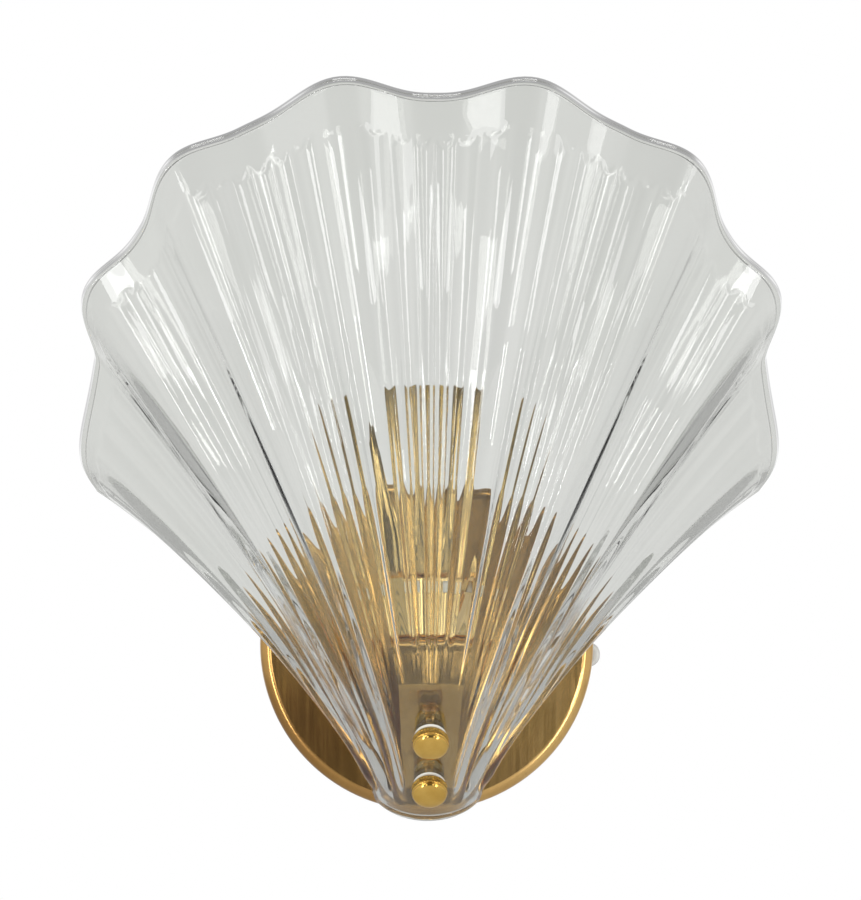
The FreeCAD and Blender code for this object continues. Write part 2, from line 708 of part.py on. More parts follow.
def knob(seat, stand):
    """A knurled thumb nut with a plain foot and a low domed face, bored from below."""
    points = []
    for k in range(2 * KNURL_RIDGES + 1):
        radius = KNOB_R - (KNURL_DEPTH if k % 2 else 0.0)
        turn = math.pi * (k + 0.5) / KNURL_RIDGES
        points.append(V(radius * math.cos(turn), radius * math.sin(turn), KNOB_FOOT_LENGTH))
    points[-1] = points[0]
    band = Part.Face(Part.makePolygon(points)).extrude(Z_AXIS * KNURL_LENGTH)
    face_z = KNOB_FOOT_LENGTH + KNURL_LENGTH
    edge_z = face_z + KNOB_FACE_EDGE
    top_z = edge_z + KNOB_DOME
    dome_r = (KNOB_FACE_R ** 2 + KNOB_DOME ** 2) / (2 * KNOB_DOME)
    half_r = KNOB_FACE_R / 2
    half_z = top_z - dome_r + math.sqrt(dome_r ** 2 - half_r ** 2)
    bore_r = STUD_R + THREAD_CLEARANCE
    outline = [
        Part.makeLine(V(bore_r, 0, 0), V(KNOB_FOOT_R, 0, 0)),
        Part.makeLine(V(KNOB_FOOT_R, 0, 0), V(KNOB_FOOT_R, 0, face_z)),
        Part.makeLine(V(KNOB_FOOT_R, 0, face_z), V(KNOB_FACE_R, 0, face_z)),
        Part.makeLine(V(KNOB_FACE_R, 0, face_z), V(KNOB_FACE_R, 0, edge_z)),
        Part.Arc(V(KNOB_FACE_R, 0, edge_z), V(half_r, 0, half_z), V(0, 0, top_z)).toShape(),
        Part.makeLine(V(0, 0, top_z), V(0, 0, KNOB_BORE_DEPTH)),
        Part.makeLine(V(0, 0, KNOB_BORE_DEPTH), V(bore_r, 0, KNOB_BORE_DEPTH)),
        Part.makeLine(V(bore_r, 0, KNOB_BORE_DEPTH), V(bore_r, 0, 0)),
    ]
    body = Part.Face(Part.Wire(outline)).revolve(V(0, 0, 0), Z_AXIS, 360)
    core = cylinder(KNOB_FOOT_R - KNURL_OVERLAP, V(0, 0, 0), Z_AXIS, face_z)
    solid = body.fuse(band.cut(core))
    base = seat + clamp_way() * knob_base(stand)
    solid.Placement = FreeCAD.Placement(base, FreeCAD.Rotation(Z_AXIS, clamp_way()))
    return solid


def lamp_cup():
    base = V(0, LAMP_Y, ARM_TOP_Z)
    solid = cylinder(CUP_R, base, Z_AXIS, CUP_HEIGHT)
    solid = solid.makeFillet(CUP_EDGE_R, [rim_edge(solid, base)])
    inside = cylinder(CUP_R - CUP_WALL, base + Z_AXIS * CUP_WALL, Z_AXIS, CUP_HEIGHT)
    hole = cylinder(NIPPLE_HOLE_R, base - Z_AXIS * OVERSHOOT, Z_AXIS, CUP_WALL + 2 * OVERSHOOT)
    return solid.cut(inside).cut(hole)


def collar_base_z():
    return ARM_TOP_Z + CUP_HEIGHT


def lamp_collar():
    base = V(0, LAMP_Y, collar_base_z())
    solid = tube(COLLAR_R, COLLAR_R - COLLAR_WALL, base, Z_AXIS, COLLAR_HEIGHT)
    slot_low = COLLAR_HEIGHT - COLLAR_TOP_BAND - COLLAR_SLOT_HEIGHT
    for k in range(COLLAR_SLOTS):
        slot = box(
            V(COLLAR_R - 2 * COLLAR_WALL, -COLLAR_SLOT_WIDTH / 2, slot_low),
            V(COLLAR_R + OVERSHOOT, COLLAR_SLOT_WIDTH / 2, slot_low + COLLAR_SLOT_HEIGHT),
        )
        slot.rotate(V(0, 0, 0), Z_AXIS, 360.0 * (k + 0.5) / COLLAR_SLOTS)
        slot.translate(base)
        solid = solid.cut(slot)
    return solid


def insert_base_z():
    return ARM_TOP_Z + CUP_WALL + NIPPLE_RING_HEIGHT


def insert_top_z():
    return collar_base_z() + COLLAR_HEIGHT - INSERT_TOP_RECESS


def lamp_insert():
    radius = min(CUP_R - CUP_WALL, COLLAR_R - COLLAR_WALL) - INSERT_CLEARANCE
    base = V(0, LAMP_Y, insert_base_z())
    height = insert_top_z() - insert_base_z()
    solid = cylinder(radius, base, Z_AXIS, height)
    solid = solid.makeChamfer(INSERT_CHAMFER, [rim_edge(solid, base + Z_AXIS * height)])
    bore = SOCKET_R + SOCKET_SHELL
    socket_floor = base + Z_AXIS * (height - SOCKET_DEPTH)
    return solid.cut(cylinder(bore, socket_floor, Z_AXIS, SOCKET_DEPTH + OVERSHOOT))


def lamp_screw_shell():
    base = V(0, LAMP_Y, insert_top_z() - SOCKET_DEPTH + CONTACT_RISE + CONTACT_SHEET)
    height = SOCKET_DEPTH - CONTACT_RISE - CONTACT_SHEET
    return tube(SOCKET_R + SOCKET_SHELL, SOCKET_R, base, Z_AXIS, height)


def centre_contact():
    floor_z = insert_top_z() - SOCKET_DEPTH
    profile = [
        (LAMP_Y - CONTACT_ROOT_Y, floor_z + CONTACT_SHEET / 2),
        (LAMP_Y + CONTACT_BEND_Y, floor_z + CONTACT_SHEET / 2),
        (LAMP_Y + CONTACT_TIP_Y, floor_z + CONTACT_RISE),
    ]
    return bent_sheet(profile, CONTACT_SHEET, CONTACT_SHEET, CONTACT_WIDTH)


def lamp_nipple():
    low = ARM_TOP_Z - ARM_SHEET - NIPPLE_BELOW
    high = insert_base_z()
    return tube(NIPPLE_R, NIPPLE_BORE_R, V(0, LAMP_Y, low), Z_AXIS, high - low)


def nipple_nut():
    start = V(0, LAMP_Y, ARM_TOP_Z - ARM_SHEET)
    return hex_nut(NIPPLE_NUT_ACROSS, NIPPLE_R + THREAD_CLEARANCE, start, Z_AXIS * -1, NIPPLE_NUT_HEIGHT)


def nipple_ring():
    start = V(0, LAMP_Y, ARM_TOP_Z + CUP_WALL)
    return tube(NIPPLE_RING_R, NIPPLE_R + THREAD_CLEARANCE, start, Z_AXIS, NIPPLE_RING_HEIGHT)


def lead(x, level_z):
    return routed_tube(
        [
            V(x, LAMP_Y, insert_base_z()),
            V(x, LAMP_Y, level_z),
            V(x, LEAD_DEPTH_Y, level_z),
            V(BLOCK_X[1], LEAD_DEPTH_Y, level_z),
        ],
        LEAD_R,
    )


def lead_grommet():
    front = -PLATE_DEPTH
    start = V(0, front, GROMMET_Z)
    solid = cylinder(GROMMET_R, start, Y_AXIS, PLATE_SHEET)
    solid = solid.fuse(cylinder(GROMMET_LIP_R, start - Y_AXIS * GROMMET_LIP, Y_AXIS, GROMMET_LIP))
    solid = solid.fuse(cylinder(GROMMET_LIP_R, start + Y_AXIS * PLATE_SHEET, Y_AXIS, GROMMET_LIP))
    length = PLATE_SHEET + 2 * GROMMET_LIP
    return solid.removeSplitter().cut(cylinder(GROMMET_BORE_R, start - Y_AXIS * GROMMET_LIP, Y_AXIS, length))


def terminal_block():
    back = -PLATE_DEPTH + PLATE_SHEET
    solid = box(V(BLOCK_X[0], back, BLOCK_Z[0]), V(BLOCK_X[1], back + BLOCK_DEPTH, BLOCK_Z[1]))
    pitch = (BLOCK_Z[1] - BLOCK_Z[0]) / BLOCK_WAYS
    half = BLOCK_GROOVE_WIDTH / 2
    floor_y = back + BLOCK_DEPTH - BLOCK_GROOVE_DEPTH
    for k in range(1, BLOCK_WAYS):
        z = BLOCK_Z[0] + k * pitch
        low = V(BLOCK_X[0] - OVERSHOOT, floor_y, z - half)
        solid = solid.cut(box(low, V(BLOCK_X[1] + OVERSHOOT, back + BLOCK_DEPTH + OVERSHOOT, z + half)))
    return solid


def terminal_screws():
    top = -PLATE_DEPTH + PLATE_SHEET + BLOCK_DEPTH
    pitch = (BLOCK_Z[1] - BLOCK_Z[0]) / BLOCK_WAYS
    quarter = (BLOCK_X[1] - BLOCK_X[0]) / 4
    screws = []
    for k in range(BLOCK_WAYS):
        for x in (BLOCK_X[0] + quarter, BLOCK_X[1] - quarter):
            start = V(x, top, BLOCK_Z[0] + (k + 0.5) * pitch)
            screws.append(cylinder(BLOCK_SCREW_R, start, Y_AXIS, BLOCK_SCREW_HEIGHT))
    return Part.makeCompound(screws)


def earth_screw():
    back = -PLATE_DEPTH + PLATE_SHEET
    seat = V(EARTH_X, back + EARTH_LUG_SHEET, EARTH_Z)
    head = cylinder(M4_HEAD_R, seat, Y_AXIS, M4_HEAD_HEIGHT)
    shoulder = cylinder(M4_R, seat - Y_AXIS * EARTH_LUG_SHEET, Y_AXIS, EARTH_LUG_SHEET)
    return head.fuse(shoulder).removeSplitter()


def earth_lug():
    back = -PLATE_DEPTH + PLATE_SHEET
    ring = cylinder(EARTH_LUG_R, V(EARTH_X, back, EARTH_Z), Y_AXIS, EARTH_LUG_SHEET)
    tongue_low = V(EARTH_X - LEAD_R, back, EARTH_Z - 2 * EARTH_LUG_R)
    tongue = box(tongue_low, V(EARTH_X + LEAD_R, back + EARTH_LUG_SHEET, EARTH_Z))
    ear = box(tongue_low, V(EARTH_X + LEAD_R, EARTH_LEAD_Y - LEAD_R, tongue_low.z + EARTH_LUG_SHEET))
    solid = ring.fuse(tongue).fuse(ear)
    hole_start = V(EARTH_X, back - OVERSHOOT, EARTH_Z)
    hole = cylinder(M4_R + THREAD_CLEARANCE, hole_start, Y_AXIS, EARTH_LUG_SHEET + 2 * OVERSHOOT)
    crimp_low = V(EARTH_X, EARTH_LEAD_Y, tongue_low.z + CRIMP_LAP - CRIMP_LENGTH)
    crimp = tube(LEAD_R + CRIMP_WALL, LEAD_R, crimp_low, Z_AXIS, CRIMP_LENGTH)
    return solid.cut(hole).fuse(crimp).removeSplitter()


def earth_lead():
    top = EARTH_Z - 2 * EARTH_LUG_R
    return cylinder(LEAD_R, V(EARTH_X, EARTH_LEAD_Y, BLOCK_Z[1]), Z_AXIS, top - BLOCK_Z[1])


def supply_lead():
    return routed_tube(list(SUPPLY_ROUTE), SUPPLY_R)


def build(blank, seats):
    nodes = {
        "wall_plate": wall_plate(),
        "wall_strap": wall_strap(),
        "rim_screws": rim_screws(),
        "bracket_arm": bracket_arm(seats),
        "arm_screws": arm_screws(),
        "arm_nuts": arm_nuts(),
        "reflector_plate": reflector_plate(),
        "glass_shell": glass_shell(blank, seats),
        "stud_nuts": Part.makeCompound([stud_nut(seat) for seat, stand in seats.values()]),
        "lamp_cup": lamp_cup(),
        "lamp_collar": lamp_collar(),
        "lamp_insert": lamp_insert(),
        "lamp_screw_shell": lamp_screw_shell(),
        "centre_contact": centre_contact(),
        "lamp_nipple": lamp_nipple(),
        "nipple_nut": nipple_nut(),
        "nipple_ring": nipple_ring(),
        "lead_grommet": lead_grommet(),
        "terminal_block": terminal_block(),
        "terminal_screws": terminal_screws(),
        "earth_screw": earth_screw(),
        "earth_lug": earth_lug(),
        "earth_lead": earth_lead(),
        "live_lead": lead(LEAD_X, LIVE_Z),
        "neutral_lead": lead(-LEAD_X, NEUTRAL_Z),
        "supply_lead": supply_lead(),
    }
    for place, (seat, stand) in seats.items():
        nodes[place + "_stud"] = stud(seat, stand)
        nodes[place + "_pad"] = rear_pad(seat)
        nodes[place + "_washer"] = front_washer(seat, stand)
        nodes[place + "_knob"] = knob(seat, stand)
    return nodes


def main():
    os.makedirs("parts", exist_ok=True)
    blank = glass_blank()
    seats = stud_seats(blank)
    for name, shape in build(blank, seats).items():
        size = shape.BoundBox
        print(f"{name}: {len(shape.Solids)} solid(s), {len(shape.Faces)} faces, {shape.Volume:.0f} mm3, "
              f"x {size.XMin:.1f}..{size.XMax:.1f} y {size.YMin:.1f}..{size.YMax:.1f} "
              f"z {size.ZMin:.1f}..{size.ZMax:.1f}, valid {shape.isValid()}")
        shape.exportStep(f"parts/{name}.step")
    for name, (seat, stand) in seats.items():
        print(f"{name} clamp axis through ({seat.x:.4f}, {seat.y:.4f}, {seat.z:.4f}) along {clamp_way()}, "
              f"the glass stands out {stand:.3f} mm under the washer")


main()
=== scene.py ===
import json
import math

import bmesh
import bpy
import numpy as np
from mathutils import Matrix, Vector


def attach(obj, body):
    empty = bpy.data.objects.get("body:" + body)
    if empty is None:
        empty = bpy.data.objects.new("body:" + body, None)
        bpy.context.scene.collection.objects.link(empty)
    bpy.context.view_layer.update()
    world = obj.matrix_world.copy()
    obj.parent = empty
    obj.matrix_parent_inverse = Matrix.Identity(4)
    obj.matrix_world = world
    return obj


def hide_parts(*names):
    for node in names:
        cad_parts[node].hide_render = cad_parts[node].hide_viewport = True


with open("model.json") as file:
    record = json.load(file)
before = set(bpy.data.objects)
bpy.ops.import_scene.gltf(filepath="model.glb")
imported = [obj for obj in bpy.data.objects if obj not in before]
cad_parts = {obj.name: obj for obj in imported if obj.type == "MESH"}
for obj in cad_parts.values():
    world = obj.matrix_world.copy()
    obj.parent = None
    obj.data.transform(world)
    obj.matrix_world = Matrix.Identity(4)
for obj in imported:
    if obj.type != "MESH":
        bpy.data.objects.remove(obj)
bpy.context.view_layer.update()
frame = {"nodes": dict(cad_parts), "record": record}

# A wall sconce: ribbed clear-glass scallop shell, brass wall plate, arm, lampholder and reflector.
# Metres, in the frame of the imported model: wall at y = 0, room at -y, z up. The shell and the knobs
# are worked out in millimetres, as their solids are, and turned into metres when they are built.

MM = 0.001

# ---- the shell: its form, by the same formula as its solid ---------------------------------------
GLASS_THICKNESS = 4.5
NECK_R = 21.5
NECK_HALF_ANGLE = 60.0
NECK_TILT = 38.0
NECK_FLARE = 14.0
NECK_FRONT_Y = -27.0
NECK_BOTTOM_Z = -62.0
FAN_Z = -53.7                     # height of the point from which the flutes fan out
VALLEY_ANGLE = (0.0, 15.8, 26.9, 36.8, 47.0)
VALLEY_REACH = (240.0, 238.0, 219.9, 192.4, 159.7)
FLUTE_REACH = (6.9, 4.8, 7.3, 2.0)
FLUTE_RISE = (8.0, 6.5, 6.5, 4.5)
FLUTE_LEAN = (0.88, 0.94, 1.38, 1.93)
FLUTE_SOFTNESS = (3.2, 2.2, 1.6, 1.15)
FLUTES_PER_SIDE = 4
FLUTE_START = 0.06
FLUTE_FULL = 0.85
RIM_FRONT_Y = -118.0
RIM_SIDE_Y = -36.4
RIM_WRAP = 70.0
RIM_LEAN = 0.06
RIM_LEAN_SIDE = -0.21
EDGE_TURN = 9.5
EDGE_POWER = 4
NECK_PULL = 0.28
RIM_PULL = 0.42
RIM_PULL_SIDE = -0.07

# ---- the shell: its fine ribs, which only the scene has in full -----------------------------------
# each flute's ribs from the middle outward: their shares of its width and their heights
RIB_SHARES = (
    (0.11, 0.12, 0.15, 0.24, 0.13, 0.12, 0.13),
    (0.14, 0.14, 0.16, 0.28, 0.14, 0.14),
    (0.16, 0.16, 0.17, 0.27, 0.12, 0.12),
    (0.19, 0.20, 0.21, 0.20, 0.20),
)
RIB_HEIGHTS = (
    (1.15, 0.95, 1.20, 0.25, 1.25, 1.15, 1.10),
    (1.00, 0.95, 1.05, 0.25, 0.90, 0.80),
    (0.95, 0.90, 0.95, 0.25, 0.80, 0.70),
    (0.70, 0.70, 0.65, 0.55, 0.45),
)
# the share of the ray where each rib begins to rise: every second one starts further up
RIB_STARTS = (
    (0.24, 0.44, 0.27, 0.50, 0.25, 0.46, 0.30),
    (0.20, 0.42, 0.22, 0.48, 0.22, 0.42),
    (0.16, 0.38, 0.18, 0.44, 0.18, 0.36),
    (0.14, 0.30, 0.15, 0.30, 0.16),
)
RIB_CURVE = 1.1                   # above 1 the ribs' sides are hollowed
RIB_RISE = 0.16                   # share of the ray over which a rib rises to its height
RIB_FADE_START = 0.60
RIB_FADE_FULL = 0.86
RIB_FADED = 0.62                  # share of its height that a rib keeps near the rim
RIB_END = 0.960                   # the border beyond it is smooth
RIB_END_BOW = 0.006
RIB_END_LENGTH = 0.004
# low beads along both sides of the neck
NECK_FLUTE_HEIGHT = 1.5
NECK_FLUTE_SIDE = (0.26, 0.40)
NECK_FLUTE_RISE = (0.03, 0.12)
NECK_FLUTE_FALL = (0.30, 0.55)

# ---- the shell: its stud holes and its mesh --------------------------------------------------------
CLAMP_AXES = ((-43.5489, -46.9647), (-58.3781, -29.1093))  # y and z of each stud's seat on the glass
CLAMP_SLOPE = 38.0
HOLE_R = 2.7
HOLE_SEARCH = 10.0                # how far from the seat, along the stud, a hole's cells may lie
COLUMNS_PER_RIB = 8
# places along the rays: from, to and how many, close together at the holes and at the ribs' ends
RAY_STRETCHES = ((0.0, 0.26, 84), (0.26, 0.93, 76), (0.93, 0.985, 30), (0.985, 1.0, 5))
EDGE_STEPS = 8                    # facets round the glass's edge, from face to face
NECK_EDGE_ROUND = 0.5             # bulge of the neck's lower edge, as a share of a half circle's
NORMAL_STEP_U = 0.02
NORMAL_STEP_T = 0.01

# ---- the knobs ---------------------------------------------------------------------------------------
KNURL_RIDGES = 36
KNURL_DEPTH = 0.40
KNURL_POWER = 1.5                 # above 1 the bottoms of the grooves are rounded
STEPS_PER_RIDGE = 6
# a knob's outline from its foot to the middle of its face: share of its length, radius
KNOB_OUTLINE = (
    (0.00, 4.9), (0.02, 5.3), (0.10, 5.3), (0.125, 5.7), (0.15, 6.0), (0.18, 6.28), (0.21, 6.3),
    (0.45, 6.3), (0.56, 6.3), (0.585, 6.2), (0.60, 5.9), (0.61, 5.7), (0.625, 5.7), (0.635, 5.9),
    (0.66, 6.0), (0.70, 5.95), (0.75, 5.72), (0.80, 5.3), (0.85, 4.68), (0.90, 3.85), (0.94, 2.95),
    (0.97, 2.1), (0.99, 1.2), (0.998, 0.5), (1.0, 0.0),
)
KNURL_BAND = (0.19, 0.58)
KNOB_BORE_R = 2.05
KNOB_BORE_SHARE = 0.66


# ---- small helpers -------------------------------------------------------------------------------------
def unit(v):
    return v / np.linalg.norm(v)


def eased(value, low, high):
    share = np.clip((value - low) / (high - low), 0.0, 1.0)
    return share * share * (3 - 2 * share)


def clamp_way():
    """The way out of the glass along both studs."""
    slope = math.radians(CLAMP_SLOPE)
    return np.array([0, -math.cos(slope), -math.sin(slope)])


def mesh_object(name, points, faces):
    """A smooth-shaded mesh in metres, without the points that no face uses."""
    mesh = bpy.data.meshes.new(name)
    mesh.from_pydata([tuple(p) for p in points], [], faces)
    mesh.validate()
    mesh.update()
    for polygon in mesh.polygons:
        polygon.use_smooth = True
    bm = bmesh.new()
    bm.from_mesh(mesh)
    bmesh.ops.delete(bm, geom=[v for v in bm.verts if not v.link_faces], context="VERTS")
    bm.to_mesh(mesh)
    bm.free()
    obj = bpy.data.objects.new(name, mesh)
    bpy.context.scene.collection.objects.link(obj)
    return obj


# ---- shell surface -------------------------------------------------------------------------------------
# u runs round the shell from -1 to 1, with 0 in the middle, and t up each ray from 0 to 1.
def smooth_between(values, side, first_slope):
    """A smooth curve through evenly spaced values, read at the shares in side."""
    last = len(values) - 1
    values = np.array(values)
    k = np.minimum((side * last).astype(int), last - 1)
    w = side * last - k
    slopes = np.empty(last + 1)
    slopes[0] = first_slope
    slopes[last] = values[last] - values[last - 1]
    slopes[1:last] = (values[2:] - values[:-2]) / 2
    return (
        (1 + 2 * w) * (1 - w) ** 2 * values[k]
        + w * (1 - w) ** 2 * slopes[k]
        + w * w * (3 - 2 * w) * values[k + 1]
        + w * w * (w - 1) * slopes[k + 1]
    )


def flute_at(u):
    """Each ray's flute, its share of that flute's width, and how near it is to the crown."""
    place = np.abs(u) * FLUTES_PER_SIDE
    k = np.minimum(place.astype(int), FLUTES_PER_SIDE - 1)
    w = np.clip(place - k, 0.0, 1.0)
    crown = np.maximum(np.sin(np.pi * w ** np.array(FLUTE_LEAN)[k]), 0.0)
    return k, w, crown ** np.array(FLUTE_SOFTNESS)[k]


def rib_edges(shares):
    return np.concatenate([[0.0], np.cumsum(shares)]) / sum(shares)


def ribs_at(k, w):
    """How far each ray is across its rib, from 0 to 1, and that rib's height and start."""
    along, height, start = np.zeros(len(w)), np.zeros(len(w)), np.zeros(len(w))
    for flute, shares in enumerate(RIB_SHARES):
        edges = rib_edges(shares)
        chosen = k == flute
        rib = np.clip(np.searchsorted(edges, w[chosen], side="right") - 1, 0, len(shares) - 1)
        along[chosen] = (w[chosen] - edges[rib]) / (edges[rib + 1] - edges[rib])
        height[chosen] = np.array(RIB_HEIGHTS[flute])[rib]
        start[chosen] = np.array(RIB_STARTS[flute])[rib]
    return np.clip(along, 0.0, 1.0), height, start[:, None]


def ray_controls(u):
    """The four control points of each ray, from the neck's lower edge to the rim."""
    side = np.abs(u)
    sign = np.where(u < 0, -1.0, 1.0)
    tilt = math.radians(NECK_TILT)
    axis = np.array([0, -math.sin(tilt), math.cos(tilt)])
    outward = np.array([0, -math.cos(tilt), -math.sin(tilt)])
    turn = np.radians(NECK_HALF_ANGLE) * side
    radial = np.sin(turn)[:, None] * np.array([1.0, 0, 0]) + np.cos(turn)[:, None] * outward
    neck_centre = np.array([0, NECK_FRONT_Y, NECK_BOTTOM_Z]) - outward * NECK_R
    start = neck_centre + radial * NECK_R
    flare = math.radians(NECK_FLARE)
    start_way = axis * math.cos(flare) + radial * math.sin(flare)
    k, w, crown = flute_at(u)
    fan = np.radians(smooth_between(VALLEY_ANGLE, side, VALLEY_ANGLE[1]))
    reach = smooth_between(VALLEY_REACH, side, 0.0) + np.array(FLUTE_REACH)[k] * crown
    wrap = math.radians(RIM_WRAP)
    rim_y = RIM_FRONT_Y + (RIM_SIDE_Y - RIM_FRONT_Y) * (1 - np.cos(wrap * side)) / (1 - math.cos(wrap))
    end = np.stack([reach * np.sin(fan), rim_y, FAN_Z + reach * np.cos(fan)], axis=1)
    end_fan = fan + math.radians(EDGE_TURN) * side ** EDGE_POWER
    end_way = np.stack([np.sin(end_fan), -RIM_LEAN - RIM_LEAN_SIDE * side, np.cos(end_fan)], axis=1)
    end_way /= np.linalg.norm(end_way, axis=1)[:, None]
    length = np.linalg.norm(end - start, axis=1)[:, None]
    low = start + start_way * (NECK_PULL * length)
    high = end - end_way * ((RIM_PULL + RIM_PULL_SIDE * side[:, None]) * length)
    controls = np.stack([start, low, high, end], axis=1)
    controls[:, :, 0] *= sign[:, None]
    return controls


def base_points(u, t):
    """A grid of points, rays along the first axis and places on the ray along the second."""
    controls = ray_controls(u)[:, None, :, :]
    t = t[None, :, None]
    s = 1 - t
    return (
        controls[:, :, 0] * s ** 3
        + controls[:, :, 1] * (3 * s * s * t)
        + controls[:, :, 2] * (3 * s * t * t)
        + controls[:, :, 3] * t ** 3
    )


def outward_ways(u, t):
    """The way out of the glass at each point of the grid."""
    right, left = np.minimum(u + NORMAL_STEP_U, 1.0), np.maximum(u - NORMAL_STEP_U, -1.0)
    above, below = np.minimum(t + NORMAL_STEP_T, 1.0), np.maximum(t - NORMAL_STEP_T, 0.0)
    across = base_points(right, t) - base_points(left, t)
    along = base_points(u, above) - base_points(u, below)
    normal = np.cross(across, along)
    return normal / np.linalg.norm(normal, axis=2)[:, :, None]


def fine_relief(u, t, k, w):
    """How far the ribs and the neck's beads stand out of the fluted outer face."""
    along, height, start = ribs_at(k, w)
    reed = (height * np.sin(np.pi * along) ** RIB_CURVE)[:, None]
    end = (RIB_END + RIB_END_BOW * np.cos(2 * np.pi * along))[:, None]
    length = eased(t, start, start + RIB_RISE) * (1 - eased(t, end - RIB_END_LENGTH, end))
    fade = 1 - (1 - RIB_FADED) * eased(t, RIB_FADE_START, RIB_FADE_FULL)
    side = eased(np.abs(u), *NECK_FLUTE_SIDE)
    bead = (NECK_FLUTE_HEIGHT * side * np.sin(np.pi * w))[:, None]
    return reed * length * fade + bead * eased(t, *NECK_FLUTE_RISE) * (1 - eased(t, *NECK_FLUTE_FALL))


def shell_surfaces(u, t):
    """The outer and inner faces of the glass as two grids of points."""
    k, w, crown = flute_at(u)
    base = base_points(u, t)
    ways = outward_ways(u, t)
    t = t[None, :]
    rise = (np.array(FLUTE_RISE)[k] * crown)[:, None] * eased(t, FLUTE_START, FLUTE_FULL)
    outer = base + ways * (rise + fine_relief(u, t, k, w))[:, :, None]
    inner = base + ways * (rise - GLASS_THICKNESS)[:, :, None]
    return outer, inner


# ---- shell mesh ----------------------------------------------------------------------------------------
def shell_columns():
    places = [0.0]
    for k, shares in enumerate(RIB_SHARES):
        edges = rib_edges(shares)
        for low, high in zip(edges, edges[1:]):
            steps = [low + (high - low) * (i + 1) / COLUMNS_PER_RIB for i in range(COLUMNS_PER_RIB)]
            places += [(k + step) / FLUTES_PER_SIDE for step in steps]
    return np.array([-place for place in reversed(places[1:])] + places)


def ray_places():
    places = [0.0]
    for low, high, count in RAY_STRETCHES:
        places += [low + (high - low) * (i + 1) / count for i in range(count)]
    return np.array(places)


def from_axis(points, seat):
    """Each point's offset from a stud's axis, and its place along that axis."""
    rel = points - seat
    along = rel @ clamp_way()
    return rel - along[..., None] * clamp_way(), along


def cells_round_corners(cells):
    """How many of the marked cells meet at each corner of the grid."""
    count = np.zeros((cells.shape[0] + 1, cells.shape[1] + 1), int)
    for rows in (slice(None, -1), slice(1, None)):
        for columns in (slice(None, -1), slice(1, None)):
            count[rows, columns] += cells
    return count


def open_stud_holes(outer, inner):
    """Marks the cells inside the stud holes and moves the corners round them onto the holes."""
    open_cells = np.zeros((outer.shape[0] - 1, outer.shape[1] - 1), bool)
    for y, z in CLAMP_AXES:
        seat = np.array([0, y, z])
        off, along = from_axis(outer, seat)
        near = (np.linalg.norm(off, axis=2) < HOLE_R) & (np.abs(along) < HOLE_SEARCH)
        hole = near[:-1, :-1] | near[1:, :-1] | near[:-1, 1:] | near[1:, 1:]
        open_cells |= hole
        meeting = cells_round_corners(hole)
        edge = (meeting > 0) & (meeting < 4)
        for points in (outer, inner):
            off, along = from_axis(points[edge], seat)
            size = np.linalg.norm(off, axis=1)[:, None]
            points[edge] = seat + along[:, None] * clamp_way() + off / size * HOLE_R
    return open_cells


def sheet_faces(open_cells, half):
    """The quads of both faces of the glass and of the walls of its holes; half is the inner's first."""
    columns = open_cells.shape[1] + 1
    is_open = np.pad(open_cells, 1)
    faces = []
    for i, j in np.argwhere(~open_cells).tolist():
        a, b = i * columns + j, (i + 1) * columns + j
        c, d = b + 1, a + 1
        faces.append((a, b, c, d))
        faces.append((half + d, half + c, half + b, half + a))
        for x, y, beside_hole in (
            (a, b, is_open[i + 1, j]),
            (c, d, is_open[i + 1, j + 2]),
            (d, a, is_open[i, j + 1]),
            (b, c, is_open[i + 2, j + 1]),
        ):
            if beside_hole:
                faces.append((y, x, half + x, half + y))
    return faces


def edge_loop(nu, nt):
    """The grid's edge in order: rim, last ray down, lower edge of the neck, first ray up."""
    loop = [(i, nt - 1) for i in range(nu)] + [(nu - 1, j) for j in range(nt - 2, -1, -1)]
    return loop + [(i, 0) for i in range(nu - 2, -1, -1)] + [(0, j) for j in range(1, nt - 1)]


def edge_way(middle, i, j):
    """The way out of the sheet at a point of its edge, as long as the edge bulges there."""
    last_i, last_j = middle.shape[0] - 1, middle.shape[1] - 1
    way = np.zeros(3)
    if j == last_j:
        way += unit(middle[i, last_j] - middle[i, last_j - 2])
    if j == 0:
        way += unit(middle[i, 0] - middle[i, 2]) * NECK_EDGE_ROUND
    if i == last_i:
        way += unit(middle[last_i, j] - middle[last_i - 3, j])
    if i == 0:
        way += unit(middle[0, j] - middle[3, j])
    size = np.linalg.norm(way)
    return way / size * min(size, 1.0)


def rounded_edge(outer, inner):
    """The points and quads that close the sheet all round with a rounded edge."""
    nu, nt = outer.shape[:2]
    half = nu * nt
    loop = edge_loop(nu, nt)
    middle = (outer + inner) / 2
    ways = [edge_way(middle, i, j) for i, j in loop]
    rings = [[i * nt + j for i, j in loop]]
    points = []
    for step in range(1, EDGE_STEPS):
        angle = math.pi * step / EDGE_STEPS
        first = 2 * half + len(points)
        for (i, j), way in zip(loop, ways):
            arm = outer[i, j] - middle[i, j]
            bulge = way * (GLASS_THICKNESS / 2 * math.sin(angle))
            points.append(middle[i, j] + arm * math.cos(angle) + bulge)
        rings.append(range(first, first + len(loop)))
    rings.append([half + i * nt + j for i, j in loop])
    faces = []
    for ring, next_ring in zip(rings, rings[1:]):
        for n in range(len(loop)):
            m = (n + 1) % len(loop)
            faces.append((ring[n], next_ring[n], next_ring[m], ring[m]))
    return np.array(points), faces


def build_shell():
    outer, inner = shell_surfaces(shell_columns(), ray_places())
    open_cells = open_stud_holes(outer, inner)
    edge_points, edge_faces = rounded_edge(outer, inner)
    faces = sheet_faces(open_cells, outer.shape[0] * outer.shape[1]) + edge_faces
    points = np.concatenate([outer.reshape(-1, 3), inner.reshape(-1, 3), edge_points])
    return mesh_object("shell_glass", points * MM, faces)


